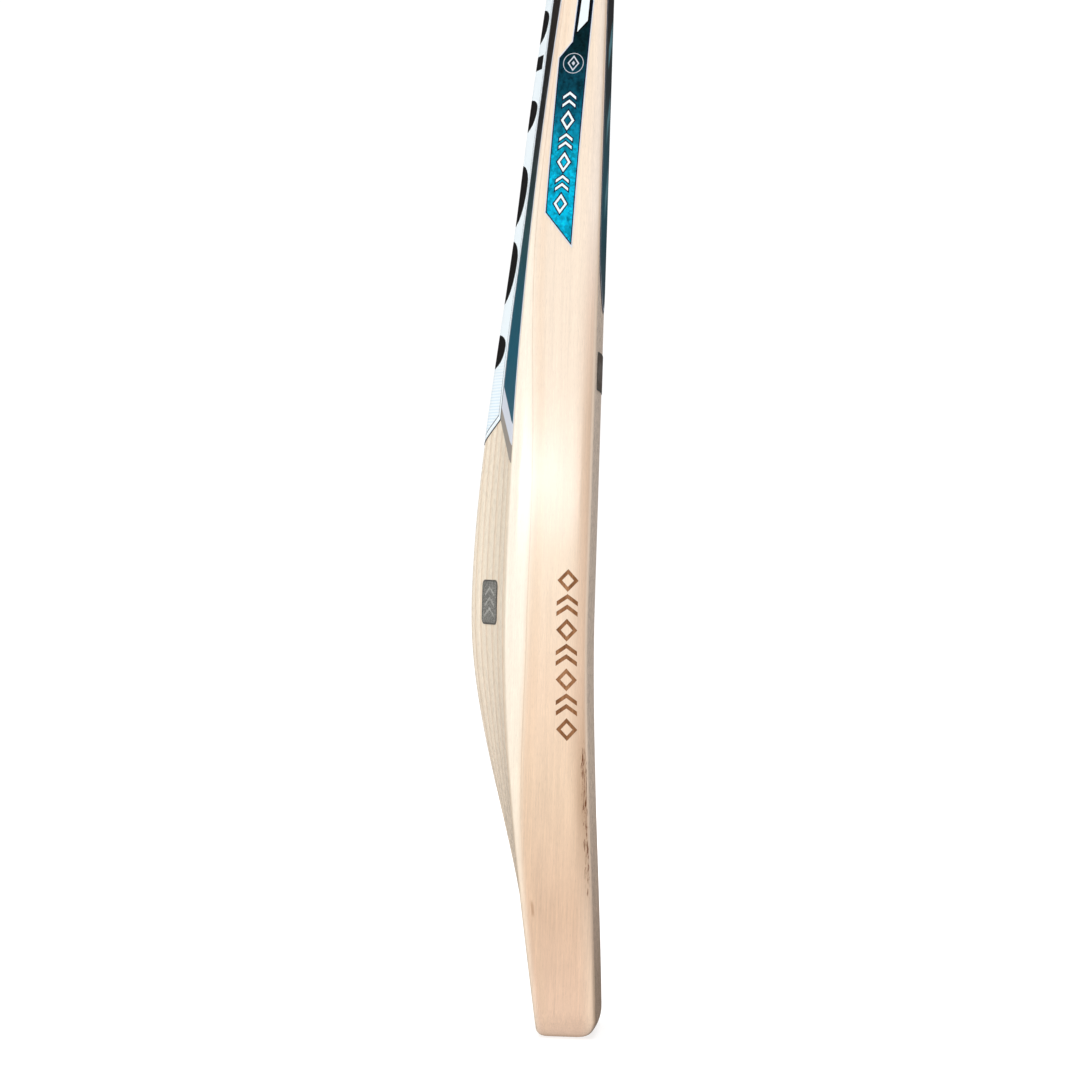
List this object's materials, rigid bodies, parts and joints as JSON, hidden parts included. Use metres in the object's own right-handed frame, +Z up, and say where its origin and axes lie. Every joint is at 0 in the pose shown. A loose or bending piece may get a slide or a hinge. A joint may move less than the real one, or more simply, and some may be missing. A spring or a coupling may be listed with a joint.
{
  "type": "cricket bat",
  "caption": "Full-size cricket bat: willow blade with thick edges and a mid-low spine, spliced laminated cane handle in a rubber grip, plain vinyl labels.",
  "frame": {"origin": "middle of the flat bottom of the toe", "axes": "+Z up the blade and along the straight handle's axis; the hitting face looks towards -Y, the spine towards +Y, X runs across the blade from edge to edge"},
  "size_m": [0.1086, 0.0693, 0.851],
  "materials": {
    "willow": "pressed and oiled willow, satin",
    "cane": "split cane, glued and sanded",
    "spring_rubber": "thin rubber sheet",
    "thread": "waxed linen thread, close wound",
    "grip_rubber": "matte moulded rubber",
    "label_white": "printed vinyl, gloss",
    "label_dark": "printed vinyl, gloss",
    "label_foil": "metallic foil vinyl with a hammered sparkle",
    "badge": "embossed foil, satin"
  },
  "bodies": {
    "root": {"blade": "willow", "cane_1_1": "cane", "cane_1_2": "cane", "cane_1_3": "cane", "cane_2_1": "cane", "cane_2_2": "cane", "cane_2_3": "cane", "cane_3_1": "cane", "cane_3_2": "cane", "cane_3_3": "cane", "cane_4_1": "cane", "cane_4_2": "cane", "cane_4_3": "cane", "spring_1": "spring_rubber", "spring_2": "spring_rubber", "spring_3": "spring_rubber", "shoulder_binding": "thread", "handle_binding": "thread", "grip": "grip_rubber", "back_label": "label_white", "back_stripe_left": "label_dark", "back_stripe_right": "label_dark", "edge_label_left": "label_foil", "edge_label_right": "label_foil", "face_label": "label_dark", "face_badge": "label_dark", "back_badge": "badge"}
  },
  "joints": []
}
